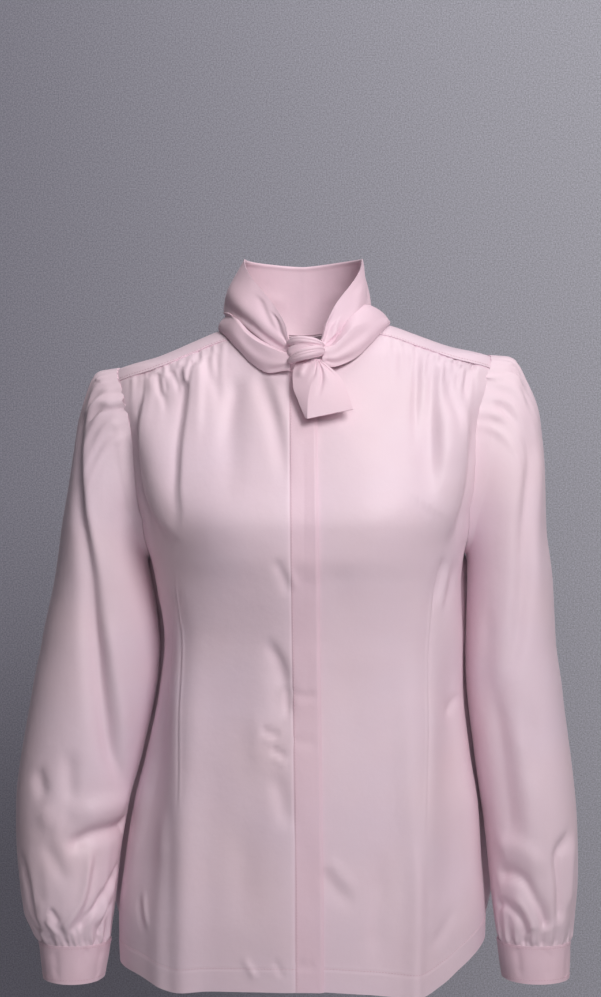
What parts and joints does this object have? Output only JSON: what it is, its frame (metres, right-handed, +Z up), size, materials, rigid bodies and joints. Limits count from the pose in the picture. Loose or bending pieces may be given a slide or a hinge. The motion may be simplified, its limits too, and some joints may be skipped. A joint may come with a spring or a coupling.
{
  "type": "tie neck blouse",
  "caption": "Long-sleeved blouse with a standing tie collar, hidden button front, gathered yoke, full sleeves on buttoned cuffs and a curved hem, hollow as worn.",
  "frame": {"origin": "middle of the wearer's neck, level with the points where the shoulders meet it", "axes": "+Z up, -Y to the front, +X to the wearer's left"},
  "size_m": [0.5686, 0.2526, 0.7296],
  "materials": {
    "blouse_cloth": "pale pink crepe with a soft satin sheen",
    "doubled_cloth": "the same pink crepe, two layers, with a soft satin sheen",
    "button": "polished pink pearl"
  },
  "bodies": {
    "root": {"front_right": "blouse_cloth", "front_left": "blouse_cloth", "back": "blouse_cloth", "yoke": "doubled_cloth", "placket": "doubled_cloth", "sleeve_right": "blouse_cloth", "cuff_right": "doubled_cloth", "cuff_button_right": "button", "sleeve_left": "blouse_cloth", "cuff_left": "doubled_cloth", "cuff_button_left": "button", "front_button_1": "button", "front_button_2": "button", "front_button_3": "button", "front_button_4": "button", "front_button_5": "button", "front_button_6": "button", "front_button_7": "button", "collar_stand": "doubled_cloth", "tie_band": "doubled_cloth", "tie_knot": "doubled_cloth", "tie_end_front": "doubled_cloth", "tie_end_back": "doubled_cloth"}
  },
  "joints": []
}
